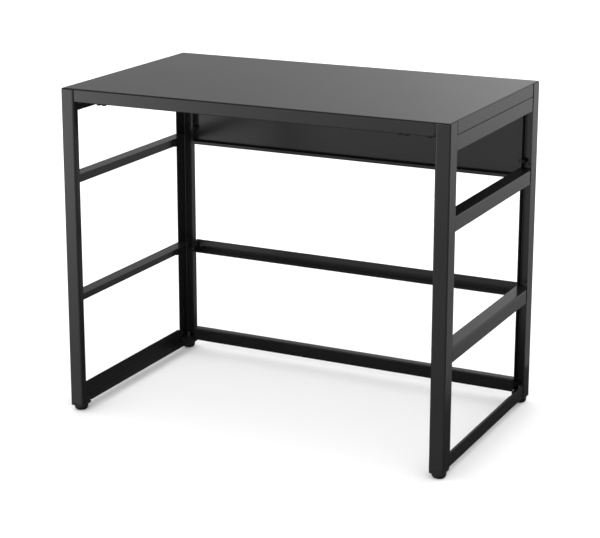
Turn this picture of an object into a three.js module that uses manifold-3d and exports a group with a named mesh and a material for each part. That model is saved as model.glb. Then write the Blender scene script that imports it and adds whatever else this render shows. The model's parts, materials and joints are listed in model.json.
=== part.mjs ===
// A steel writing desk: a folded sheet top on two welded side frames, joined at the back by a modesty
// panel and two rails, standing on four screw-adjusted glides.
// Millimetres, +Z up. X runs along the desk, the user sits at -Y, and the origin lies on the floor
// under the middle of the top.

import * as THREE from 'three';
import { mergeVertices } from 'three/addons/utils/BufferGeometryUtils.js';
import Module from 'manifold-3d';

const wasm = await Module();
wasm.setup();

// Overall sizes.
const WIDTH = 900;
const DEPTH = 530;
const HEIGHT = 740;

// Sheet and clearances.
const FRAME_SHEET = 1.5;
const TOP_SHEET = 1.2;
const BEND_RADIUS = 2.5;
const FACE_GAP = 0.3;
const TOP_SEAM = 2;
const REAR_RELIEF = 6.5;
const HOLE_CLEARANCE = 0.3;

// Legs: a channel with one long and one short flange, open towards the middle of its side frame.
const LEG_WIDTH = 32;
const LEG_DEPTH = 38;
const LEG_LIP = 17;
const LEG_BEND_RADIUS = 4;

// Top: a pan with flanges all round and a narrow return lip under them.
const TOP_FLANGE = 29;
const TOP_CORNER_RADIUS = 4.5;
const TOP_EDGE_RADIUS = 4;
const TOP_HEM_RADIUS = 1.5;
const SIDE_RETURN = 26;
const END_RETURN = 15;
const STIFFENER_WIDTH = 90;
const STIFFENER_CROWN = 50;
const STIFFENER_DEPTH = 20;

// Side rails: angles, given by the height of their outer flange's upper edge.
const RAIL_FLANGE = 31;
const RAIL_ARM = 31;
const RAIL_LAP = 10;
const LAP_SETBACK = 2.5;
const UPPER_RAIL_TOP = 547;
const LOWER_RAIL_TOP = 274;

// Back: a panel under the top, with a lip along its lower flange, and two rails.
const PANEL_HEIGHT = 192;
const PANEL_LOWER_FLANGE = 16;
const PANEL_LOWER_LIP = 7.5;
const PANEL_UPPER_FLANGE = 15;
const MIDDLE_RAIL_TOP = 276;
const MIDDLE_RAIL_FLANGE = 25;
const MIDDLE_RAIL_ARM = 32;
const FLOOR_RAIL_TOP = 50;
const FLOOR_RAIL_FLANGE = 30;
const FLOOR_RAIL_ARM = 20;
const EAR_SETBACK = 1;
const EAR_MARGIN = 4;

// Feet: a cap in the leg's end holds a nut, and the glide's stud screws through it.
const GLIDE_HEIGHT = 12;
const GLIDE_RADIUS = 15.5;
const GLIDE_TREAD_RADIUS = 9;
const GLIDE_RIM = 3.5;
const CAP_FLANGE = 5;
const CAP_PLUG = 8;
const NUT_FLOOR = 1;
const CAP_CORNER_RADIUS = 4;
const CAP_EDGE_RADIUS = 1.5;
const STUD_RADIUS = 4;
const STUD_SEAT = 5;
const STUD_REACH = 12;
const FOOT_NUT_FLATS = 13;
const FOOT_NUT_HEIGHT = 6.3;

// Fasteners.
const BOLT_RADIUS = 3;
const BOLT_LENGTH = 12;
const BOLT_HEAD_RADIUS = 6;
const BOLT_HEAD_HEIGHT = 3.3;
const BOLT_SOCKET_FLATS = 4;
const BOLT_SOCKET_DEPTH = 2;
const NUT_FLATS = 10;
const NUT_HEIGHT = 5;
const SCREW_LENGTH = 8;
const RIVET_RADIUS = 1.5;
const RIVET_HEAD_RADIUS = 2.8;
const RIVET_HEAD_HEIGHT = 0.8;
const RIVET_LENGTH = 4;
const PANEL_BOLT_INSET = 40;
const TOP_BOLT_INSET = 120;
const FRONT_SCREW_INSETS = [45, 93, 106];
const RIVET_INSET = 32;

// Smoothness.
const BEND_STEPS = 4;
const ROUND_SEGMENTS = 24;
const SMALL_SEGMENTS = 16;

// Heights and faces that several pieces share.
const halfWidth = WIDTH / 2;
const halfDepth = DEPTH / 2;
const capTop = GLIDE_HEIGHT + CAP_FLANGE;
const legFoot = capTop + FACE_GAP;
const legTop = HEIGHT - TOP_SHEET - FACE_GAP;
const topUnderside = HEIGHT - TOP_FLANGE;
const topRailTop = topUnderside - FACE_GAP;
const innerLegFace = halfWidth - LEG_WIDTH;
const legFlangeEdge = halfDepth - LEG_DEPTH;
const railEnds = [FACE_GAP - legFlangeEdge, legFlangeEdge - REAR_RELIEF];
const tongueEnd = halfDepth - LEG_LIP - FACE_GAP;
const earDepth = LEG_LIP - EAR_SETBACK;
const backSpan = innerLegFace - FACE_GAP;
// The back bolts' line: the middle of the leg's short flange, and clear of its bend.
const lipMiddle = halfDepth - Math.max((LEG_LIP + FRAME_SHEET) / 2, LEG_BEND_RADIUS + NUT_FLATS / 2);
const footX = halfWidth - LEG_WIDTH / 2;
const footY = halfDepth - LEG_DEPTH / 2;

const coat = { color: 0x1b1b1c, roughness: 0.42, metalness: 0.1 };
const moulding = { color: 0x111111, roughness: 0.6, metalness: 0 };
const zinc = { color: 0x5c5e61, roughness: 0.45, metalness: 1 };
const blackened = { color: 0x1d1d1e, roughness: 0.45, metalness: 0.6 };

const desk = new THREE.Group();

// The four corners as signs of x and y.
const corners = [[-1, -1], [1, -1], [-1, 1], [1, 1]];

function ordered(a, b) {
  return a < b ? [a, b] : [b, a];
}

function addMesh(name, geometry, finish, parent = desk) {
  const mesh = new THREE.Mesh(geometry, new THREE.MeshStandardMaterial(finish));
  mesh.name = name;
  parent.add(mesh);
  return mesh;
}

// Booleans -------------------------------------------------------------------------------------

function toSolid(geometry) {
  const bare = geometry.clone();
  bare.deleteAttribute('normal');
  bare.deleteAttribute('uv');
  const merged = mergeVertices(bare, 1e-4);
  return new wasm.Manifold(new wasm.Mesh({
    numProp: 3,
    vertProperties: Float32Array.from(merged.attributes.position.array),
    triVerts: Uint32Array.from(merged.index.array),
  }));
}

function toGeometry(solid) {
  const mesh = solid.getMesh();
  const geometry = new THREE.BufferGeometry();
  geometry.setAttribute('position', new THREE.BufferAttribute(mesh.vertProperties, 3));
  geometry.setIndex(new THREE.BufferAttribute(mesh.triVerts, 1));
  geometry.computeVertexNormals();
  return geometry;
}

function join(first, ...others) {
  return toGeometry(others.reduce((whole, other) => whole.add(toSolid(other)), toSolid(first)));
}

function cut(first, ...tools) {
  return toGeometry(tools.reduce((rest, tool) => rest.subtract(toSolid(tool)), toSolid(first)));
}

function meet(first, second) {
  return toGeometry(toSolid(first).intersect(toSolid(second)));
}

// Shapes ---------------------------------------------------------------------------------------

// The frame whose third axis is the direction of extrusion, and whose first two hold the outline.
const bases = {
  x: [[0, 1, 0], [0, 0, 1], [1, 0, 0]],
  y: [[0, 0, 1], [1, 0, 0], [0, 1, 0]],
  z: [[1, 0, 0], [0, 1, 0], [0, 0, 1]],
};

// An outline extruded along an axis from one place to another. The outline's two coordinates are
// y and z along x, z and x along y, and x and y along z.
function extrude(shape, axis, from, to) {
  const geometry = new THREE.ExtrudeGeometry(shape, {
    depth: to - from,
    bevelEnabled: false,
    curveSegments: BEND_STEPS,
  });
  geometry.translate(0, 0, from);
  const [first, second, third] = bases[axis].map((v) => new THREE.Vector3(...v));
  return geometry.applyMatrix4(new THREE.Matrix4().makeBasis(first, second, third));
}

function block(x, y, z) {
  const geometry = new THREE.BoxGeometry(x[1] - x[0], y[1] - y[0], z[1] - z[0]);
  return geometry.translate((x[0] + x[1]) / 2, (y[0] + y[1]) / 2, (z[0] + z[1]) / 2);
}

// A round bar along an axis, through a point given by its other two coordinates in the bases' order.
function bar(axis, radius, from, to, centre) {
  const shape = new THREE.Shape();
  shape.absarc(centre[0], centre[1], radius, 0, 2 * Math.PI);
  return extrude(new THREE.Shape(shape.getPoints(SMALL_SEGMENTS / 2)), axis, from, to);
}

function hexagon(flats) {
  const radius = flats / Math.sqrt(3);
  const corners = Array.from({ length: 6 }, (_, i) => (i * Math.PI) / 3);
  return new THREE.Shape(corners.map((a) => new THREE.Vector2(radius * Math.cos(a), radius * Math.sin(a))));
}

function roundedRectangle(x, y, radius) {
  const shape = new THREE.Shape();
  shape.absarc(x[1] - radius, y[1] - radius, radius, 0, Math.PI / 2);
  shape.absarc(x[0] + radius, y[1] - radius, radius, Math.PI / 2, Math.PI);
  shape.absarc(x[0] + radius, y[0] + radius, radius, Math.PI, 1.5 * Math.PI);
  shape.absarc(x[1] - radius, y[0] + radius, radius, 1.5 * Math.PI, 2 * Math.PI);
  return shape;
}

// An outline extruded upwards, with its upper and lower edges rounded.
function roundedSlab(shape, from, to, radius) {
  const geometry = new THREE.ExtrudeGeometry(shape, {
    depth: to - from - 2 * radius,
    bevelThickness: radius,
    bevelSize: radius,
    bevelOffset: -radius,
    bevelSegments: BEND_STEPS,
    curveSegments: BEND_STEPS,
  });
  return geometry.translate(0, 0, from + radius);
}

// The outline of a sheet folded along a path of straight runs. The path is the middle of the
// sheet, and each of its corners becomes an arc with that radius outside.
function foldedSheet(path, sheet, bend = BEND_RADIUS) {
  const points = path.map((p) => new THREE.Vector2(...p));
  const radius = bend - sheet / 2;
  const middle = [];
  points.forEach((corner, i) => {
    const before = points[i - 1];
    const after = points[i + 1];
    if (!before || !after) {
      const along = before ? corner.clone().sub(before) : after.clone().sub(corner);
      middle.push({ at: corner, along: along.normalize() });
      return;
    }
    const along = corner.clone().sub(before).normalize();
    const onward = after.clone().sub(corner).normalize();
    const turn = Math.asin(along.cross(onward));
    const reach = radius * Math.tan(Math.abs(turn) / 2);
    const side = new THREE.Vector2(-along.y, along.x).multiplyScalar(Math.sign(turn));
    const centre = corner.clone().addScaledVector(along, -reach).addScaledVector(side, radius);
    for (let step = 0; step <= BEND_STEPS; step++) {
      const angle = (turn * step) / BEND_STEPS;
      const origin = new THREE.Vector2();
      const arm = side.clone().negate().rotateAround(origin, angle);
      middle.push({
        at: centre.clone().addScaledVector(arm, radius),
        along: along.clone().rotateAround(origin, angle),
      });
    }
  });
  const offset = (distance) => middle.map(({ at, along }) => (
    at.clone().addScaledVector(new THREE.Vector2(-along.y, along.x), distance)
  ));
  return new THREE.Shape([...offset(sheet / 2), ...offset(-sheet / 2).reverse()]);
}

// Top ------------------------------------------------------------------------------------------

// The space inside the desk's outer faces up to a height, with the top's rounded edge, moved
// inwards by an inset.
function makeEnvelope(inset, top) {
  const reach = [halfWidth - inset, halfDepth - inset];
  const outline = roundedRectangle([-reach[0], reach[0]], [-reach[1], reach[1]], TOP_CORNER_RADIUS - inset);
  return roundedSlab(outline, -HEIGHT, top, TOP_EDGE_RADIUS - inset);
}

function makeTop() {
  const outline = roundedRectangle([-halfWidth, halfWidth], [-halfDepth, halfDepth], TOP_CORNER_RADIUS);
  const body = meet(makeEnvelope(0, HEIGHT), roundedSlab(outline, topUnderside, 2 * HEIGHT, TOP_HEM_RADIUS));
  const floor = block([-WIDTH, WIDTH], [-DEPTH, DEPTH], [topUnderside + TOP_SHEET, HEIGHT]);
  const mouth = [halfWidth - SIDE_RETURN, halfDepth - END_RETURN];
  const below = topUnderside - 1;
  const tools = [
    meet(makeEnvelope(TOP_SHEET, HEIGHT - TOP_SHEET), floor),
    block([-mouth[0], mouth[0]], [-mouth[1], mouth[1]], [below, HEIGHT - TOP_FLANGE / 2]),
  ];
  // Each leg stands in a corner, under the top sheet alone.
  for (const [sx, sy] of corners) {
    const pocketX = innerLegFace - (sy < 0 ? TOP_SEAM : FACE_GAP);
    const pocketY = sy * (legFlangeEdge - (sy < 0 ? TOP_SEAM : REAR_RELIEF));
    tools.push(block(ordered(sx * pocketX, sx * WIDTH), ordered(pocketY, sy * DEPTH),
      [below, HEIGHT - TOP_SHEET]));
  }
  for (const [x, y] of topBoltPlaces()) {
    tools.push(bar('z', BOLT_RADIUS + HOLE_CLEARANCE, below, HEIGHT - TOP_FLANGE / 2, [x, y]));
  }
  for (const x of frontScrewPlaces()) {
    tools.push(bar('z', BOLT_RADIUS + HOLE_CLEARANCE, below, HEIGHT - TOP_FLANGE / 2, [x, frontLipMiddle]));
  }
  tools.push(placeRivet(makeRivet(HOLE_CLEARANCE)));
  return cut(body, ...tools);
}

// A hat-section stiffener under the sheet, along the middle of the desk.
function makeStiffener() {
  const top = HEIGHT - TOP_SHEET - FACE_GAP - TOP_SHEET / 2;
  const bottom = top - STIFFENER_DEPTH + TOP_SHEET;
  const wall = STIFFENER_CROWN / 2;
  const path = [[-STIFFENER_WIDTH / 2, top], [-wall, top], [-wall, bottom],
    [wall, bottom], [wall, top], [STIFFENER_WIDTH / 2, top]];
  const reach = halfWidth - TOP_EDGE_RADIUS - FACE_GAP;
  return extrude(foldedSheet(path, TOP_SHEET), 'x', -reach, reach);
}

// Side frames ----------------------------------------------------------------------------------

function makeLeg(sx, sy) {
  const skin = FRAME_SHEET / 2;
  const path = [[skin, LEG_DEPTH], [skin, skin], [LEG_WIDTH - skin, skin], [LEG_WIDTH - skin, LEG_LIP]];
  const placed = path.map(([u, v]) => [sx * (halfWidth - u), sy * (halfDepth - v)]);
  const outline = foldedSheet(placed, FRAME_SHEET, LEG_BEND_RADIUS);
  const leg = meet(extrude(outline, 'z', legFoot, legTop), makeEnvelope(0, HEIGHT));
  if (sy < 0) return leg;
  const holes = backBoltHeights().map((z) => bar('x', BOLT_RADIUS + HOLE_CLEARANCE,
    ...ordered(sx * (innerLegFace - 1), sx * (innerLegFace + FRAME_SHEET + 1)), [lipMiddle, z]));
  return cut(leg, ...holes);
}

// An angle along the side of the frame. Its flat flange is at the upper edge of the outer flange,
// or at the lower edge where it faces down, and runs on into the legs as a tongue where they are open.
function makeSideRail(side, top, options = {}) {
  const { facesDown = false, tongue = true, holes = [], lapTop = top - FRAME_SHEET / 2 } = options;
  const skin = FRAME_SHEET / 2;
  const fold = facesDown ? top - RAIL_FLANGE + skin : top - skin;
  const edge = facesDown ? top : top - RAIL_FLANGE;
  const outside = halfWidth - skin;
  const path = [[edge, side * outside], [fold, side * outside], [fold, side * (halfWidth - RAIL_ARM)]];
  const ends = tongue ? [-tongueEnd, tongueEnd] : railEnds;
  const angle = extrude(foldedSheet(path, FRAME_SHEET), 'y', ...ends);
  const tools = holes.map(([x, y]) => (
    bar('z', BOLT_RADIUS + HOLE_CLEARANCE, fold - 2 * FRAME_SHEET, fold + 2 * FRAME_SHEET, [x, y])));
  if (tongue) {
    const shoulder = side * (halfWidth - FRAME_SHEET - FACE_GAP);
    for (const end of railEnds) {
      const beyond = ordered(end, Math.sign(end) * DEPTH);
      tools.push(block(ordered(shoulder, side * WIDTH), beyond, [top - 2 * RAIL_FLANGE, top + RAIL_FLANGE]));
      tools.push(block(ordered(side * (halfWidth - RAIL_ARM - 1), side * WIDTH), beyond,
        [top - 2 * RAIL_FLANGE, top - FRAME_SHEET]));
    }
  }
  const trimmed = tools.length ? cut(angle, ...tools) : angle;
  return join(trimmed, ...makeLap(side, top, lapTop));
}

// Behind the relief at the rear leg, a plate set in from the rail's outer flange on a packing piece.
// It reaches behind the leg's flange, there above the end cap's plug and up to the lap's own top.
function makeLap(side, top, lapTop) {
  const bottom = top - RAIL_FLANGE;
  const level = top - FRAME_SHEET / 2;
  const outside = halfWidth - FRAME_SHEET;
  const plate = outside - LAP_SETBACK;
  const across = (outer) => ordered(side * (plate - FRAME_SHEET), side * outer);
  const start = railEnds[1] - RAIL_LAP;
  const plugFace = legFlangeEdge + FRAME_SHEET;
  const abovePlug = Math.max(bottom, capTop + CAP_PLUG + FACE_GAP);
  return [
    block(across(outside), [start, railEnds[1]], [bottom + FRAME_SHEET, level]),
    block(across(plate), [start, plugFace - FACE_GAP], [bottom, level]),
    block(across(plate), [railEnds[1] + FACE_GAP, legFlangeEdge + RAIL_LAP], [abovePlug, lapTop]),
  ];
}

// Back -----------------------------------------------------------------------------------------

// A folded length between the rear legs, with an ear at each end that lies on the leg's short flange.
function makeBackMember(path, earY, earZ, boltHeights) {
  const member = extrude(foldedSheet(path, FRAME_SHEET), 'x', -backSpan, backSpan);
  const ears = [-1, 1].map((side) => (
    block(ordered(side * (backSpan - FRAME_SHEET), side * backSpan), earY, earZ)));
  const holes = boltHeights.map((z) => bar('x', BOLT_RADIUS + HOLE_CLEARANCE, -WIDTH, WIDTH, [lipMiddle, z]));
  return cut(join(member, ...ears), ...holes);
}

function makeBackPanel() {
  const skin = FRAME_SHEET / 2;
  const back = halfDepth - skin;
  const top = topRailTop - skin;
  const bottom = panelBottom + skin;
  const lip = halfDepth - PANEL_LOWER_FLANGE + skin;
  const path = [[halfDepth - PANEL_UPPER_FLANGE, top], [back, top], [back, bottom],
    [lip, bottom], [lip, panelBottom + PANEL_LOWER_LIP]];
  return makeBackMember(path, [halfDepth - earDepth, back], [panelBottom + skin, topRailTop - skin],
    panelBoltHeights);
}

function makeMiddleRail() {
  const skin = FRAME_SHEET / 2;
  const back = halfDepth - skin;
  const bottom = MIDDLE_RAIL_TOP - MIDDLE_RAIL_FLANGE + skin;
  const path = [[back, MIDDLE_RAIL_TOP], [back, bottom], [halfDepth - MIDDLE_RAIL_ARM, bottom]];
  return makeBackMember(path, [halfDepth - earDepth, back], [bottom, MIDDLE_RAIL_TOP - EAR_MARGIN / 2],
    [middleBoltHeight]);
}

function makeFloorRail() {
  const skin = FRAME_SHEET / 2;
  const front = halfDepth - FLOOR_RAIL_ARM + skin;
  const top = FLOOR_RAIL_TOP - skin;
  const path = [[front, FLOOR_RAIL_TOP - FLOOR_RAIL_FLANGE], [front, top], [halfDepth, top]];
  return makeBackMember(path, [front, halfDepth - EAR_MARGIN / 2],
    [FLOOR_RAIL_TOP - FLOOR_RAIL_FLANGE + EAR_MARGIN, top], [floorBoltHeight]);
}

// Feet -----------------------------------------------------------------------------------------

// The cap's flange closes the leg's end, and its plug fills the channel and holds the nut.
function makeCap(sx, sy) {
  const wall = FRAME_SHEET + FACE_GAP;
  const across = (from, to) => ordered(sx * (halfWidth - from), sx * (halfWidth - to));
  const along = (from, to) => ordered(sy * (halfDepth - from), sy * (halfDepth - to));
  const end = roundedRectangle(across(0, LEG_WIDTH), along(0, LEG_DEPTH), CAP_CORNER_RADIUS);
  const hollow = roundedRectangle(across(wall, LEG_WIDTH - wall), along(wall, LEG_DEPTH - FRAME_SHEET),
    CAP_CORNER_RADIUS);
  const flange = roundedSlab(end, GLIDE_HEIGHT, capTop, CAP_EDGE_RADIUS);
  const plug = extrude(hollow, 'z', capTop - CAP_EDGE_RADIUS, capTop + CAP_PLUG);
  const pocket = extrude(hexagon(FOOT_NUT_FLATS + 2 * HOLE_CLEARANCE), 'z', nutSeat, HEIGHT);
  pocket.translate(sx * footX, sy * footY, 0);
  const passage = bar('z', STUD_RADIUS + HOLE_CLEARANCE, -1, HEIGHT, [sx * footX, sy * footY]);
  return cut(join(flange, plug), pocket, passage);
}

// A domed tread with a blind seat for the stud, around its own upright axis.
function makeGlide() {
  const top = GLIDE_HEIGHT - FACE_GAP;
  const seat = STUD_RADIUS + HOLE_CLEARANCE;
  const dome = new THREE.EllipseCurve(GLIDE_TREAD_RADIUS, top - GLIDE_RIM,
    GLIDE_RADIUS - GLIDE_TREAD_RADIUS, top - GLIDE_RIM, -Math.PI / 2, 0);
  const profile = [
    new THREE.Vector2(0, 0),
    ...dome.getPoints(2 * BEND_STEPS),
    new THREE.Vector2(GLIDE_RADIUS, top - 1),
    new THREE.Vector2(GLIDE_RADIUS - 1, top),
    new THREE.Vector2(seat, top),
    new THREE.Vector2(seat, STUD_SEAT),
    new THREE.Vector2(0, STUD_SEAT),
  ];
  return new THREE.LatheGeometry(profile, ROUND_SEGMENTS).rotateX(Math.PI / 2);
}

function makeStud() {
  const bottom = STUD_SEAT + FACE_GAP;
  const top = capTop + CAP_PLUG + STUD_REACH;
  const profile = [
    new THREE.Vector2(0, bottom),
    new THREE.Vector2(STUD_RADIUS, bottom),
    new THREE.Vector2(STUD_RADIUS, top - 1),
    new THREE.Vector2(STUD_RADIUS - 1, top),
    new THREE.Vector2(0, top),
  ];
  return new THREE.LatheGeometry(profile, SMALL_SEGMENTS).rotateX(Math.PI / 2);
}

// Fasteners, each along +Z with its seat at the origin -------------------------------------------

function makeNut(flats, height, bolt) {
  const body = extrude(hexagon(flats), 'z', 0, height);
  return cut(body, bar('z', bolt + HOLE_CLEARANCE, -1, height + 1, [0, 0]));
}

// A button head below the seat and a shank above it.
function makeBolt(length) {
  const crown = BOLT_HEAD_RADIUS / 2;
  const side = new THREE.EllipseCurve(crown, 0, BOLT_HEAD_RADIUS - crown, BOLT_HEAD_HEIGHT, -Math.PI / 2, 0);
  const profile = [
    new THREE.Vector2(0, -BOLT_HEAD_HEIGHT),
    ...side.getPoints(BEND_STEPS),
    new THREE.Vector2(BOLT_RADIUS, 0),
    new THREE.Vector2(BOLT_RADIUS, length - 0.6),
    new THREE.Vector2(BOLT_RADIUS - 0.6, length),
    new THREE.Vector2(0, length),
  ];
  const body = new THREE.LatheGeometry(profile, SMALL_SEGMENTS).rotateX(Math.PI / 2);
  return cut(body, extrude(hexagon(BOLT_SOCKET_FLATS), 'z', -BOLT_HEAD_HEIGHT - 1,
    BOLT_SOCKET_DEPTH - BOLT_HEAD_HEIGHT));
}

// A countersunk rivet, head down. With a clearance it is the hole that the rivet sits in.
function makeRivet(clearance = 0) {
  const head = RIVET_HEAD_RADIUS + clearance;
  const shank = RIVET_RADIUS + clearance;
  const profile = [
    new THREE.Vector2(0, -clearance),
    new THREE.Vector2(head, -clearance),
    new THREE.Vector2(head, clearance / 2),
    new THREE.Vector2(shank, RIVET_HEAD_HEIGHT + clearance / 2),
    new THREE.Vector2(shank, RIVET_LENGTH),
    new THREE.Vector2(0, RIVET_LENGTH),
  ].filter((point, i, all) => !i || point.distanceTo(all[i - 1]) > 0);
  return new THREE.LatheGeometry(profile, SMALL_SEGMENTS).rotateX(Math.PI / 2);
}

function placeRivet(geometry) {
  return geometry.rotateX(-Math.PI / 2).translate(rivetX, -halfDepth, rivetHeight);
}

// Places of the fasteners ------------------------------------------------------------------------

const panelBottom = topRailTop - PANEL_HEIGHT;
const panelBoltHeights = [panelBottom + PANEL_BOLT_INSET, topRailTop - PANEL_BOLT_INSET];
const middleBoltHeight = MIDDLE_RAIL_TOP - MIDDLE_RAIL_FLANGE / 2 + 1;
const floorBoltHeight = FLOOR_RAIL_TOP - (FLOOR_RAIL_FLANGE - EAR_MARGIN) / 2;
const frontLipMiddle = -halfDepth + END_RETURN / 2;
const rivetX = innerLegFace - TOP_SEAM - RIVET_INSET;
const rivetHeight = HEIGHT - TOP_FLANGE / 2;
const nutSeat = capTop + NUT_FLOOR;

function backBoltHeights() {
  return [floorBoltHeight, middleBoltHeight, ...panelBoltHeights];
}

function topBoltPlaces() {
  const x = halfWidth - SIDE_RETURN / 2;
  const y = halfDepth - TOP_BOLT_INSET;
  return corners.map(([sx, sy]) => [sx * x, sy * y]);
}

function frontScrewPlaces() {
  return [-1, 1].flatMap((side) => FRONT_SCREW_INSETS.map((inset) => side * (halfWidth - inset)));
}

// Assembly ---------------------------------------------------------------------------------------

const sideNames = { [-1]: 'left', 1: 'right' };
const endNames = { [-1]: 'front', 1: 'rear' };

addMesh('desktop_pan', makeTop(), coat);
addMesh('desktop_stiffener', makeStiffener(), coat);

for (const side of [-1, 1]) {
  const name = sideNames[side];
  const holes = topBoltPlaces().filter(([x]) => Math.sign(x) === side);
  addMesh(`${name}_top_rail`, makeSideRail(side, topRailTop, { holes, lapTop: legTop }), coat);
  addMesh(`${name}_upper_rail`, makeSideRail(side, UPPER_RAIL_TOP), coat);
  addMesh(`${name}_lower_rail`, makeSideRail(side, LOWER_RAIL_TOP), coat);
  addMesh(`${name}_floor_rail`,
    makeSideRail(side, legFoot + RAIL_FLANGE, { facesDown: true, tongue: false }), coat);
}

addMesh('back_panel', makeBackPanel(), coat);
addMesh('rear_middle_rail', makeMiddleRail(), coat);
addMesh('rear_floor_rail', makeFloorRail(), coat);

for (const [sx, sy] of corners) {
  const name = `${endNames[sy]}_${sideNames[sx]}`;
  addMesh(`${name}_leg`, makeLeg(sx, sy), coat);
  addMesh(`${name}_end_cap`, makeCap(sx, sy), moulding);
  const foot = new THREE.Group();
  foot.position.set(sx * footX, sy * footY, 0);
  desk.add(foot);
  addMesh(`${name}_glide`, makeGlide(), moulding, foot);
  addMesh(`${name}_stud`, makeStud(), zinc, foot);
  const nut = addMesh(`${name}_foot_nut`, makeNut(FOOT_NUT_FLATS, FOOT_NUT_HEIGHT, STUD_RADIUS), zinc, foot);
  nut.position.z = nutSeat + FACE_GAP;
}

// Bolts through the ears of the back pieces, with nuts in the rear legs.
const backBolts = [
  ['floor_rail', floorBoltHeight],
  ['middle_rail', middleBoltHeight],
  ['lower_panel', panelBoltHeights[0]],
  ['upper_panel', panelBoltHeights[1]],
];
for (const side of [-1, 1]) {
  for (const [place, height] of backBolts) {
    const bolt = addMesh(`${place}_bolt_${sideNames[side]}`, makeBolt(BOLT_LENGTH), blackened);
    bolt.rotation.y = (side * Math.PI) / 2;
    bolt.position.set(side * (backSpan - FRAME_SHEET - FACE_GAP), lipMiddle, height);
    const nutShape = makeNut(NUT_FLATS, NUT_HEIGHT, BOLT_RADIUS);
    const nut = addMesh(`${place}_nut_${sideNames[side]}`, nutShape, blackened);
    nut.rotation.y = (side * Math.PI) / 2;
    nut.position.set(side * (innerLegFace + FRAME_SHEET + FACE_GAP), lipMiddle, height);
  }
}

// Screws from below through the top rails into the side returns, and in the front return.
for (const [x, y] of topBoltPlaces()) {
  const name = `${endNames[Math.sign(y)]}_${sideNames[Math.sign(x)]}`;
  addMesh(`top_screw_${name}`, makeBolt(SCREW_LENGTH), blackened)
    .position.set(x, y, topRailTop - FRAME_SHEET - FACE_GAP);
}
frontScrewPlaces().forEach((x, i) => {
  const rank = (i % FRONT_SCREW_INSETS.length) + 1;
  addMesh(`front_lip_screw_${sideNames[Math.sign(x)]}_${rank}`, makeBolt(SCREW_LENGTH), blackened)
    .position.set(x, frontLipMiddle, topUnderside - FACE_GAP);
});

// A painted rivet near the right-hand end of the front flange.
addMesh('front_rivet', placeRivet(makeRivet()), coat);

export default desk;
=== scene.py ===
"""A black powder-coated steel desk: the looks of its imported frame.

Sheet pieces are copies of the CAD nodes with eased edges, and the fasteners and feet are turned or
threaded in mesh code where the CAD has plain ones. Metres, in the row frame.
"""

import json
import math

import bmesh
import bpy
from mathutils import Matrix, Vector


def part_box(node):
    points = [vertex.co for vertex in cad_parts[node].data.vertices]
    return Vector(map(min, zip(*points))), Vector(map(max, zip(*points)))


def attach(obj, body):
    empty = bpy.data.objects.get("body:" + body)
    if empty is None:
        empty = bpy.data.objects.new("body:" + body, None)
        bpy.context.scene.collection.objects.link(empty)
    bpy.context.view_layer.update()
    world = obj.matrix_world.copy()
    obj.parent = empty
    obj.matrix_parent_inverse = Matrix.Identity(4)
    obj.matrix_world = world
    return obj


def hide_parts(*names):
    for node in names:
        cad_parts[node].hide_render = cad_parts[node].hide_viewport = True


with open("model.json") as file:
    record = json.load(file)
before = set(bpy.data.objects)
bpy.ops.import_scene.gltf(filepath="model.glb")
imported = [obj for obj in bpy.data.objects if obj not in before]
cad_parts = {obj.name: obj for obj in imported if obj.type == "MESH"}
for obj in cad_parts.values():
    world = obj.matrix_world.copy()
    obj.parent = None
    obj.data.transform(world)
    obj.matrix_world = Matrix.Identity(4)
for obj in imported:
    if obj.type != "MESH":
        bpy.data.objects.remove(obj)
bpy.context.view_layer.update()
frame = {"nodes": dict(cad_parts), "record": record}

MM = 0.001
UP = Vector((0, 0, 1))

# Edges. An edge is eased where its faces meet at more than the sharp angle.
SHARP_ANGLE = math.radians(40)
SMOOTH_ANGLE = math.radians(35)
FLAT_ANGLE = math.radians(0.5)
SHEET_EDGE = 0.3 * MM
MOULDED_EDGE = 0.3 * MM
SMALL_EDGE = 0.2 * MM
EDGE_STEPS = 2
MERGE_DISTANCE = 0.002 * MM
FACE_WEIGHT = 80

# Fasteners and feet. Radii, heads, flats and the shanks' chamfers are the CAD's. Its shanks are plain
# and its nuts' edges are square, so the threads' pitches and depth and the nuts' shares are set here.
TURN_STEPS = 24
THREAD_STEPS = 8
BOLT_RADIUS = 3 * MM
BOLT_PITCH = 1 * MM
BOLT_HEAD_RADIUS = 6 * MM
BOLT_HEAD_HEIGHT = 3.3 * MM
BOLT_SOCKET_FLATS = 4 * MM
BOLT_SOCKET_DEPTH = 2 * MM
BOLT_CHAMFER = 0.6 * MM
BOLT_DOME_STEPS = 8
STUD_RADIUS = 4 * MM
STUD_PITCH = 1.25 * MM
STUD_CHAMFER = 1 * MM
THREAD_DEPTH_SHARE = 0.6
BOLT_NUT_FLATS = 10 * MM
FOOT_NUT_FLATS = 13 * MM
NUT_FACE_SHARE = 0.486
NUT_CHAMFER_SHARE = 0.06
HOLE_CLEARANCE = 0.3 * MM
GLIDE_STEPS = 48
GLIDE_DOME_STEPS = 14
GLIDE_TREAD_RADIUS = 9 * MM
GLIDE_RIM = 3.5 * MM
GLIDE_EDGE = 1 * MM
GLIDE_EDGE_STEPS = 4
GLIDE_SEAT_HEIGHT = 5 * MM

# The desktop's sheet and its gaps, and the blocks inside its rear corners, which the CAD doesn't have.
TOP_SHEET = 1.2 * MM
REAR_RELIEF = 6.5 * MM
LEG_GAP = 0.3 * MM
WELD_GAP = 0.05 * MM
BACKING_SETBACK = 2.8 * MM
BACKING_LAP = 10 * MM
BACKING_DEPTH = 6 * MM


# Camera -----------------------------------------------------------------------------------------

CAMERA_PLACE = (1.6570, -3.3802, 1.4191)
CAMERA_YAW, CAMERA_PITCH, CAMERA_ROLL = (math.radians(a) for a in (28.18, 14.29, -0.44))
CAMERA_LENS = 105.3
CAMERA_SENSOR = 36
CAMERA_SHIFT = (0.10, -0.10)


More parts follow.
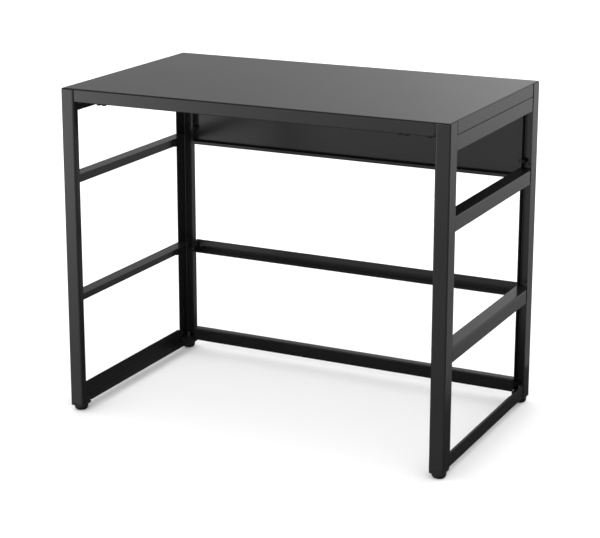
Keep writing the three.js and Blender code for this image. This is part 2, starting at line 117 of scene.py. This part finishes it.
def make_camera():
    """A camera that looks along +Y, turned towards -X by its yaw and down by its pitch."""
    forward = Vector((-math.sin(CAMERA_YAW) * math.cos(CAMERA_PITCH),
                      math.cos(CAMERA_YAW) * math.cos(CAMERA_PITCH), -math.sin(CAMERA_PITCH)))
    level = Vector((math.cos(CAMERA_YAW), math.sin(CAMERA_YAW), 0))
    upright = level.cross(forward)
    right = math.cos(CAMERA_ROLL) * level + math.sin(CAMERA_ROLL) * upright
    above = math.cos(CAMERA_ROLL) * upright - math.sin(CAMERA_ROLL) * level
    data = bpy.data.cameras.new("camera")
    data.lens, data.sensor_width = CAMERA_LENS, CAMERA_SENSOR
    data.shift_x, data.shift_y = CAMERA_SHIFT
    camera = bpy.data.objects.new("camera", data)
    turn = Matrix((right, above, -forward)).transposed().to_4x4()
    camera.matrix_world = Matrix.Translation(CAMERA_PLACE) @ turn
    bpy.context.scene.collection.objects.link(camera)
    bpy.context.scene.camera = camera


# Materials --------------------------------------------------------------------------------------

class Graph:
    """A node tree that nodes are added to, one call each."""

    def __init__(self, owner):
        owner.use_nodes = True
        self.tree = owner.node_tree
        self.tree.nodes.clear()

    def add(self, kind, inputs=None, **settings):
        """A new node. An input's value is a number, a colour or another node's output."""
        node = self.tree.nodes.new("ShaderNode" + kind)
        for key, value in settings.items():
            setattr(node, key, value)
        for key, value in (inputs or {}).items():
            if isinstance(value, bpy.types.NodeSocket):
                self.tree.links.new(value, node.inputs[key])
            else:
                node.inputs[key].default_value = value
        return node

    def noise(self, place, scale, detail=3.0, roughness=0.5):
        """Noise from 0 to 1, with features about 1/scale metres wide."""
        node = self.add("TexNoise", {"Vector": place, "Scale": scale, "Detail": detail,
                                     "Roughness": roughness})
        return node.outputs["Fac"]

    def spread(self, value, low, high, low_from=0.0, high_from=1.0):
        """The value from one range moved into another, and held inside it."""
        node = self.add("MapRange", {"Value": value, "From Min": low_from, "From Max": high_from,
                                     "To Min": low, "To Max": high})
        return node.outputs["Result"]

    def blend(self, share, first, second):
        """A colour between two, each a colour or an output."""
        node = self.add("Mix", data_type="RGBA")
        for socket, value in ((0, share), (6, first), (7, second)):
            if isinstance(value, bpy.types.NodeSocket):
                self.tree.links.new(value, node.inputs[socket])
            else:
                node.inputs[socket].default_value = value
        return node.outputs[2]

    def math(self, operation, first, second):
        return self.add("Math", {0: first, 1: second}, operation=operation).outputs[0]

    def bump(self, height, distance, strength=1.0, below=None):
        inputs = {"Height": height, "Distance": distance, "Strength": strength}
        if below is not None:
            inputs["Normal"] = below
        return self.add("Bump", inputs).outputs["Normal"]

    def surface(self, **inputs):
        """The shader and the output. A named input is the shader's, with spaces for underscores."""
        shader = self.add("BsdfPrincipled", {k.replace("_", " "): v for k, v in inputs.items()})
        self.add("OutputMaterial", {"Surface": shader.outputs[0]})


def grey(level, warmth=0.0):
    return (level * (1 + warmth), level, level * (1 - warmth), 1.0)


def powder_coat():
    """Satin black powder coat on steel: orange peel, a fine grain, and a painted highlight that lightens
    the eased edges.
    """
    material = bpy.data.materials.new("powder_coat")
    g = Graph(material)
    place = g.add("TexCoord").outputs["Object"]
    edge = g.add("Attribute", attribute_name="edge").outputs["Fac"]
    peel = g.noise(place, 420, 2.0)
    grain = g.noise(place, 2600, 2.0)
    handling = g.noise(place, 5, 3.0, 0.5)
    dust = g.spread(g.noise(place, 5200, 1.0), 0.0, 1.0, 0.68, 0.78)
    clean = g.blend(g.spread(handling, 0.0, 1.0, 0.3, 0.7), grey(0.0062, -0.03), grey(0.0078, -0.03))
    dusted = g.blend(g.math("MULTIPLY", dust, 0.25), clean, grey(0.05))
    # Painted highlight: the eased edges' faces are mixed towards a lighter grey.
    colour = g.blend(g.math("MULTIPLY", edge, 0.6), dusted, grey(0.022))
    roughness = g.math("ADD", g.spread(handling, 0.185, 0.205, 0.3, 0.7),
                       g.math("MULTIPLY", grain, 0.03))
    bumps = g.bump(peel, 0.03 * MM, 0.25)
    bumps = g.bump(grain, 0.006 * MM, 0.4, bumps)
    g.surface(Base_Color=colour, Roughness=roughness, IOR=1.5, Normal=bumps)
    return material


def moulding():
    """Black moulded plastic with a fine spark-eroded grain, and a painted highlight on its eased edges."""
    material = bpy.data.materials.new("moulding")
    g = Graph(material)
    place = g.add("TexCoord").outputs["Object"]
    edge = g.add("Attribute", attribute_name="edge").outputs["Fac"]
    grain = g.noise(place, 1700, 3.0)
    scuffs = g.noise(place, 60, 4.0, 0.7)
    colour = g.blend(g.spread(scuffs, 0.0, 1.0, 0.45, 0.75), grey(0.004), grey(0.008))
    # Painted highlight: the eased edges' faces are mixed towards a lighter grey.
    colour = g.blend(g.math("MULTIPLY", edge, 0.4), colour, grey(0.015))
    roughness = g.spread(scuffs, 0.5, 0.65, 0.3, 0.7)
    g.surface(Base_Color=colour, Roughness=roughness, IOR=1.46,
              Normal=g.bump(grain, 0.04 * MM, 0.6))
    return material


def zinc():
    """Dull zinc plating: a little blotchy, with a faint cool and yellow drift."""
    material = bpy.data.materials.new("zinc")
    g = Graph(material)
    place = g.add("TexCoord").outputs["Object"]
    blotch = g.noise(place, 350, 4.0, 0.6)
    fine = g.noise(place, 4000, 2.0)
    colour = g.blend(g.spread(blotch, 0.0, 1.0, 0.35, 0.65), (0.16, 0.165, 0.175, 1), (0.21, 0.20, 0.18, 1))
    g.surface(Base_Color=colour, Metallic=1.0, Roughness=g.spread(blotch, 0.34, 0.5, 0.3, 0.7),
              Normal=g.bump(fine, 0.01 * MM, 0.5))
    return material


def black_screw():
    """Blackened steel, dull in its hollows and rubbed on its crests."""
    material = bpy.data.materials.new("black_screw")
    g = Graph(material)
    place = g.add("TexCoord").outputs["Object"]
    rub = g.noise(place, 500, 4.0, 0.6)
    colour = g.blend(g.spread(rub, 0.0, 1.0, 0.5, 0.8), grey(0.012), grey(0.05))
    g.surface(Base_Color=colour, Metallic=0.5, Roughness=g.spread(rub, 0.3, 0.5, 0.3, 0.7),
              Normal=g.bump(rub, 0.02 * MM, 0.5))
    return material


# Meshes -----------------------------------------------------------------------------------------

def body_of(node):
    bodies = frame["record"]["behaviour"]["bodies"]
    return next(body for body, members in bodies.items() if node in members)


def ease_edges(mesh, width):
    """Bevels the sharp edges, unless the width is 0, and marks the new faces, which the coats paint lighter
    as a painted highlight.
    """
    painted_highlight = mesh.faces.layers.float.new("edge")
    if width:
        sharp = [e for e in mesh.edges if len(e.link_faces) == 2 and e.calc_face_angle() > SHARP_ANGLE]
        made = bmesh.ops.bevel(mesh, geom=sharp, offset=width, segments=EDGE_STEPS, profile=0.5,
                               affect="EDGES", clamp_overlap=True)
        for face in made["faces"]:
            # The mark is a painted highlight: the materials mix these faces towards a lighter grey.
            face[painted_highlight] = 1.0
    for face in mesh.faces:
        face.smooth = True
    for edge in mesh.edges:
        edge.smooth = len(edge.link_faces) == 2 and edge.calc_face_angle() < SMOOTH_ANGLE


def finish_piece(mesh, node, material, edge=0.0):
    """Makes an object of the mesh that rides with the node's body and stands for the node."""
    ease_edges(mesh, edge)
    data = bpy.data.meshes.new(node + "_piece")
    mesh.to_mesh(data)
    mesh.free()
    data.materials.append(material)
    piece = bpy.data.objects.new(node + "_piece", data)
    bpy.context.scene.collection.objects.link(piece)
    weighted = piece.modifiers.new("even_shading", "WEIGHTED_NORMAL")
    weighted.keep_sharp = True
    weighted.weight = FACE_WEIGHT
    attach(piece, body_of(node))
    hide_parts(node)


def refine(node, edge, material, backing=()):
    """A copy of the node with its flat faces merged and its sharp edges eased. Backing blocks, each
    a low and a high corner, are welded inside it."""
    mesh = bmesh.new()
    mesh.from_mesh(frame["nodes"][node].data)
    bmesh.ops.remove_doubles(mesh, verts=mesh.verts, dist=MERGE_DISTANCE)
    bmesh.ops.dissolve_limit(mesh, angle_limit=FLAT_ANGLE, verts=mesh.verts, edges=mesh.edges)
    for low, high in backing:
        size = high - low
        place = Matrix.Translation((low + high) / 2) @ Matrix.Diagonal((*size, 1))
        bmesh.ops.create_cube(mesh, size=1, matrix=place)
    finish_piece(mesh, node, material, edge)


def corner_backing():
    """Blocks inside the desktop's flanges that close the slots beside each rear leg: a plate set in
    behind the side's relief, its packing, and a block at the rear flange's end. The slots are open in
    the CAD."""
    low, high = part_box("desktop_pan")
    floor, ceiling = low.z + TOP_SHEET + WELD_GAP, high.z - TOP_SHEET - WELD_GAP
    blocks = []
    for name, side in (("rear_left_leg", -1), ("rear_right_leg", 1)):
        leg_low, leg_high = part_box(name)
        skin = high.x - TOP_SHEET - WELD_GAP
        relief = leg_low.y - REAR_RELIEF
        end = min(abs(leg_low.x), abs(leg_high.x)) - LEG_GAP
        back = high.y - TOP_SHEET - WELD_GAP
        spans = [
            ((skin - BACKING_SETBACK - TOP_SHEET, skin - BACKING_SETBACK),
             (relief - BACKING_LAP, leg_low.y + BACKING_LAP)),
            ((skin - BACKING_SETBACK, skin), (relief - BACKING_LAP, relief)),
            ((end - BACKING_LAP, end), (back - BACKING_DEPTH, back)),
        ]
        for (near, far), (front, rear) in spans:
            left, right = sorted((side * near, side * far))
            blocks.append((Vector((left, front, floor)), Vector((right, rear, ceiling))))
    return blocks


def circle(radius):
    return lambda angle: radius


def hexagon(flats):
    def radius(angle):
        within = angle % (math.pi / 3) - math.pi / 6
        return flats / 2 / math.cos(within)
    return radius


def thread(radius, pitch, height):
    """A right-hand thread's section at a height."""
    def at(angle):
        phase = (height / pitch - angle / math.tau) % 1
        return radius - THREAD_DEPTH_SHARE * pitch * abs(2 * phase - 1)
    return at


def thread_rings(radius, pitch, start, end):
    count = math.ceil((end - start) / pitch * THREAD_STEPS)
    heights = [start + (end - start) * i / count for i in range(count + 1)]
    return [(z, thread(radius, pitch, z)) for z in heights]


def loft(rings, steps=TURN_STEPS, hollow=False):
    """Rings (height, radius by angle) about Z, joined in order. A hollow one closes on itself."""
    mesh = bmesh.new()
    made = []
    for height, radius in rings:
        angles = [math.tau * i / steps for i in range(steps)]
        made.append([mesh.verts.new((radius(a) * math.cos(a), radius(a) * math.sin(a), height))
                     for a in angles])
    following = made[1:] + made[:1] if hollow else made[1:]
    for ring, after in zip(made, following):
        for i in range(steps):
            j = (i + 1) % steps
            mesh.faces.new((ring[i], ring[j], after[j], after[i]))
    if not hollow:
        mesh.faces.new(made[0][::-1])
        mesh.faces.new(made[-1])
    bmesh.ops.recalc_face_normals(mesh, faces=mesh.faces)
    return mesh


def node_length(node, axis=UP):
    low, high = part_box(node)
    return abs((high - low).dot(axis))


def stand(mesh, node, axis=UP, seat=0.0):
    """Moves a mesh made along Z to the node's place, with its origin a seat's height above the end
    of the node's box that the axis leaves."""
    low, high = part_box(node)
    place = (low + high) / 2 + axis * (seat - node_length(node, axis) / 2)
    turn = UP.rotation_difference(axis).to_matrix().to_4x4()
    mesh.transform(Matrix.Translation(place) @ turn)


def make_bolt(node, axis, material):
    """A button-head bolt with a hexagon socket and a cut thread."""
    length = node_length(node, axis) - BOLT_HEAD_HEIGHT
    crown = BOLT_HEAD_RADIUS / 2
    socket = hexagon(BOLT_SOCKET_FLATS)
    rings = [(BOLT_SOCKET_DEPTH - BOLT_HEAD_HEIGHT, socket), (-BOLT_HEAD_HEIGHT, socket)]
    for i in range(BOLT_DOME_STEPS + 1):
        angle = math.pi / 2 * i / BOLT_DOME_STEPS
        rings.append((-BOLT_HEAD_HEIGHT * math.cos(angle), circle(crown + crown * math.sin(angle))))
    rings.append((0, circle(BOLT_RADIUS)))
    rings += thread_rings(BOLT_RADIUS, BOLT_PITCH, BOLT_CHAMFER, length - BOLT_CHAMFER)
    rings.append((length, circle(BOLT_RADIUS - BOLT_CHAMFER)))
    mesh = loft(rings)
    stand(mesh, node, axis, BOLT_HEAD_HEIGHT)
    finish_piece(mesh, node, material)


def make_nut(node, axis, flats, thread_radius, material):
    """A hexagon nut that is turned down to a circle at both faces, with a chamfered plain bore."""
    height = node_length(node, axis)
    chamfer = NUT_CHAMFER_SHARE * flats
    bore = circle(thread_radius + HOLE_CLEARANCE)
    mouth = circle(thread_radius + HOLE_CLEARANCE + chamfer)
    face = circle(NUT_FACE_SHARE * flats)
    rings = [
        (0, mouth), (0, face), (chamfer, hexagon(flats)), (height - chamfer, hexagon(flats)),
        (height, face), (height, mouth), (height - chamfer, bore), (chamfer, bore),
    ]
    mesh = loft(rings, hollow=True)
    stand(mesh, node, axis)
    finish_piece(mesh, node, material)


def make_stud(node, material):
    length = node_length(node)
    rings = [(0, circle(STUD_RADIUS - STUD_CHAMFER / 2))]
    rings += thread_rings(STUD_RADIUS, STUD_PITCH, STUD_CHAMFER / 2, length - STUD_CHAMFER)
    rings.append((length, circle(STUD_RADIUS - STUD_CHAMFER)))
    mesh = loft(rings)
    stand(mesh, node)
    finish_piece(mesh, node, material)


def make_glide(node, material):
    """A domed tread with a rounded rim, and a blind seat for the stud."""
    low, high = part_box(node)
    radius, top = (high.x - low.x) / 2, high.z - low.z
    rim = top - GLIDE_RIM
    reach = radius - GLIDE_TREAD_RADIUS
    seat = STUD_RADIUS + HOLE_CLEARANCE
    rings = []
    for i in range(GLIDE_DOME_STEPS + 1):
        angle = math.pi / 2 * i / GLIDE_DOME_STEPS
        rings.append((rim * (1 - math.cos(angle)), circle(GLIDE_TREAD_RADIUS + reach * math.sin(angle))))
    for i in range(GLIDE_EDGE_STEPS + 1):
        angle = math.pi / 2 * i / GLIDE_EDGE_STEPS
        rings.append((top - GLIDE_EDGE * (1 - math.sin(angle)),
                      circle(radius - GLIDE_EDGE * (1 - math.cos(angle)))))
    rings += [(top, circle(seat)), (GLIDE_SEAT_HEIGHT, circle(seat))]
    mesh = loft(rings, GLIDE_STEPS)
    stand(mesh, node)
    finish_piece(mesh, node, material)


# Studio -----------------------------------------------------------------------------------------

FLOOR_REACH = 60
FLOOR_LEVEL = 0.92
SURROUND = 1.6
# What the gloss sees of the studio, by the direction it looks in. Each list holds pairs: one part of
# the direction, from -1 to 1, and the brightness there. The lists of one group are multiplied.
GLOSS_BY_HEIGHT = [(-1.0, 0.2), (-0.45, 0.25), (-0.36, 0.32), (-0.32, 0.35), (-0.28, 0.39),
                   (-0.245, 0.48), (-0.19, 0.88), (0.0, 1.0), (0.2, 0.88), (0.31, 0.68),
                   (0.5, 0.42), (1.0, 0.3)]
GLOSS_BY_SIDE = [(-1.0, 0.3), (-0.58, 0.4), (-0.46, 0.46), (-0.38, 0.6), (-0.32, 0.84),
                 (0.0, 0.84), (0.3, 0.82), (0.36, 1.0), (0.52, 0.5), (1.0, 0.4)]
GLOSS_BY_DEPTH = [(-1.0, 1.45), (-0.7, 1.42), (0.0, 1.0), (1.0, 1.0)]
# A bright window to the front left, which starts a little below level and fades out above.
WINDOW_BY_SIDE = [(-1.0, 0.0), (-0.8, 2.6), (-0.552, 2.6), (-0.54, 1.8), (-0.51, 0.8),
                  (-0.48, 0.35), (-0.45, 0.1), (-0.42, 0.0), (1.0, 0.0)]
WINDOW_BY_HEIGHT = [(-1.0, 0.0), (-0.268, 0.0), (-0.25, 1.0), (0.1, 1.0), (0.4, 0.0), (1.0, 0.0)]
WINDOW_BY_DEPTH = [(-1.0, 1.0), (-0.6, 1.0), (-0.4, 0.0), (1.0, 0.0)]
# A lit patch, low down to the front left.
LIT_PATCH_WAY = (-0.53, -0.785, -0.325)
LIT_PATCH_LEVEL = 0.6
LIT_PATCH_EDGES = (0.985, 0.999)
# Painted shade: a dark card on the floor under the desk and past its sides and back, which only the gloss
# sees. It stands in for the desk's shadow on the floor as seen in the reflections.
SHADE_CARD_REACH = ((-0.62, 0.63), (-0.27, 0.48))
SHADE_CARD_HEIGHT = 0.5 * MM


def level_ramp(g, value, stops):
    """Brightness by a value from -1 to 1, smooth between its stops."""
    node = g.add("ValToRGB", {"Fac": g.spread(value, 0.0, 1.0, -1.0, 1.0)})
    ramp = node.color_ramp
    while len(ramp.elements) > 1:
        ramp.elements.remove(ramp.elements[0])
    for i, (place, level) in enumerate(stops):
        element = ramp.elements[0] if not i else ramp.elements.new((place + 1) / 2)
        element.position = (place + 1) / 2
        element.color = (level, level, level, 1)
    return node.outputs["Color"]


def product(g, *parts):
    """The product of several ramps, each with its own value."""
    first, *others = [level_ramp(g, value, stops) for value, stops in parts]
    for other in others:
        first = g.math("MULTIPLY", first, other)
    return first


def lay_sheet(name, reach, height, material):
    """A level rectangle that is part of the studio and not of the desk."""
    (left, right), (front, back) = reach
    data = bpy.data.meshes.new(name)
    data.from_pydata([(left, front, height), (right, front, height), (right, back, height),
                      (left, back, height)], [], [(0, 1, 2, 3)])
    data.materials.append(material)
    sheet = bpy.data.objects.new(name, data)
    bpy.context.scene.collection.objects.link(sheet)
    return sheet


def make_studio():
    world = bpy.data.worlds.new("studio")
    bpy.context.scene.world = world
    g = Graph(world)
    place = g.add("TexCoord").outputs["Generated"]
    direction = g.add("SeparateXYZ", {0: place})
    side, depth, height = direction.outputs
    sweep = product(g, (height, GLOSS_BY_HEIGHT), (side, GLOSS_BY_SIDE), (depth, GLOSS_BY_DEPTH))
    window = product(g, (height, WINDOW_BY_HEIGHT), (side, WINDOW_BY_SIDE), (depth, WINDOW_BY_DEPTH))
    way = Vector(LIT_PATCH_WAY).normalized()
    towards = g.add("VectorMath", {0: place, 1: way}, operation="DOT_PRODUCT")
    patch = g.spread(towards.outputs["Value"], 0.0, LIT_PATCH_LEVEL, *LIT_PATCH_EDGES)
    sweep = g.math("ADD", g.math("ADD", sweep, window), patch)
    glossy = g.add("LightPath").outputs["Is Glossy Ray"]
    level = g.add("Mix", {0: glossy, 2: SURROUND, 3: sweep}).outputs[0]
    background = g.add("Background", {"Color": grey(1.0), "Strength": level})
    g.add("OutputWorld", {"Surface": background.outputs[0]})

    material = bpy.data.materials.new("floor")
    Graph(material).surface(Base_Color=grey(FLOOR_LEVEL), Roughness=0.8)
    half = FLOOR_REACH / 2
    floor = lay_sheet("floor", ((-half, half), (-half, half)), 0, material)
    floor.visible_glossy = False

    # Painted shade: the card's dark grey stands in for the desk's shadow on the floor, seen only in
    # reflections.
    material = bpy.data.materials.new("painted_shade_card")
    Graph(material).surface(Base_Color=grey(0.05), Roughness=1.0, Specular_IOR_Level=0.0)
    painted_shade_card = lay_sheet("painted_shade_card", SHADE_CARD_REACH, SHADE_CARD_HEIGHT, material)
    painted_shade_card.visible_camera = painted_shade_card.visible_diffuse = painted_shade_card.visible_shadow = False


# Assembly ---------------------------------------------------------------------------------------

SIDES = ("left", "right")
SIDE_RAILS = ("top", "upper", "lower", "floor")
CORNERS = [f"{end}_{side}" for end in ("front", "rear") for side in SIDES]
SHEETS = ["desktop_pan", "desktop_stiffener", "back_panel", "rear_middle_rail", "rear_floor_rail"]
SHEETS += [f"{side}_{rail}_rail" for side in SIDES for rail in SIDE_RAILS]
SHEETS += [f"{corner}_leg" for corner in CORNERS]
BACK_BOLTS = ["floor_rail", "middle_rail", "lower_panel", "upper_panel"]


def make_desk():
    coat, plastic, plating, blackened = powder_coat(), moulding(), zinc(), black_screw()
    for node in SHEETS:
        backing = corner_backing() if node == "desktop_pan" else ()
        refine(node, SHEET_EDGE, coat, backing)
    for corner in CORNERS:
        refine(f"{corner}_end_cap", MOULDED_EDGE, plastic)
        make_glide(f"{corner}_glide", plastic)
        make_stud(f"{corner}_stud", plating)
        make_nut(f"{corner}_foot_nut", UP, FOOT_NUT_FLATS, STUD_RADIUS, plating)
        make_bolt(f"top_screw_{corner}", UP, blackened)
    for side, outward in (("left", Vector((-1, 0, 0))), ("right", Vector((1, 0, 0)))):
        for place in BACK_BOLTS:
            make_bolt(f"{place}_bolt_{side}", outward, blackened)
            make_nut(f"{place}_nut_{side}", outward, BOLT_NUT_FLATS, BOLT_RADIUS, blackened)
        for rank in (1, 2, 3):
            make_bolt(f"front_lip_screw_{side}_{rank}", UP, blackened)
    refine("front_rivet", SMALL_EDGE, coat)


make_camera()
make_studio()
make_desk()
bpy.context.scene.view_settings.view_transform = "Standard"
